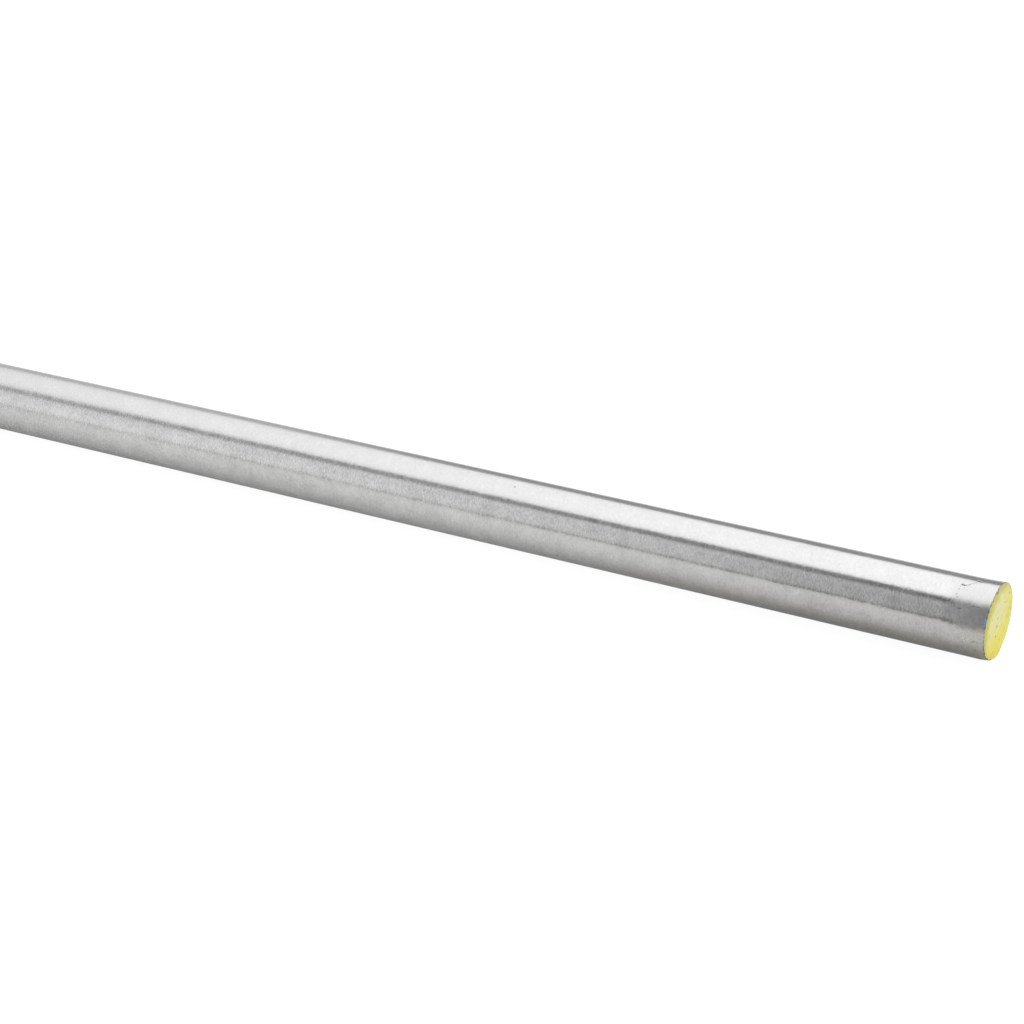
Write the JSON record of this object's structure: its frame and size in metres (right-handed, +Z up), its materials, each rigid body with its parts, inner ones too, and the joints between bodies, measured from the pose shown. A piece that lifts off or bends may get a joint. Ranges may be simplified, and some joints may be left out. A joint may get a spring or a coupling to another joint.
{
  "type": "round metal bar",
  "caption": "Straight solid round bar of bright ground steel, cropped and paint-marked at one end and sawn at the other: stock for shafts, pins, spacers and frames.",
  "frame": {"origin": "on the plane that the bar lies on, under the middle of its length", "axes": "+X along the bar towards its cropped, paint-marked end; +Z up; -Y is the side that the picture shows"},
  "size_m": [0.5, 0.025, 0.025],
  "materials": {
    "bright_steel": "satin",
    "yellow_end_paint": "satin",
    "blue_paint": "satin"
  },
  "bodies": {
    "root": {"round_bar": "bright_steel"}
  },
  "joints": []
}
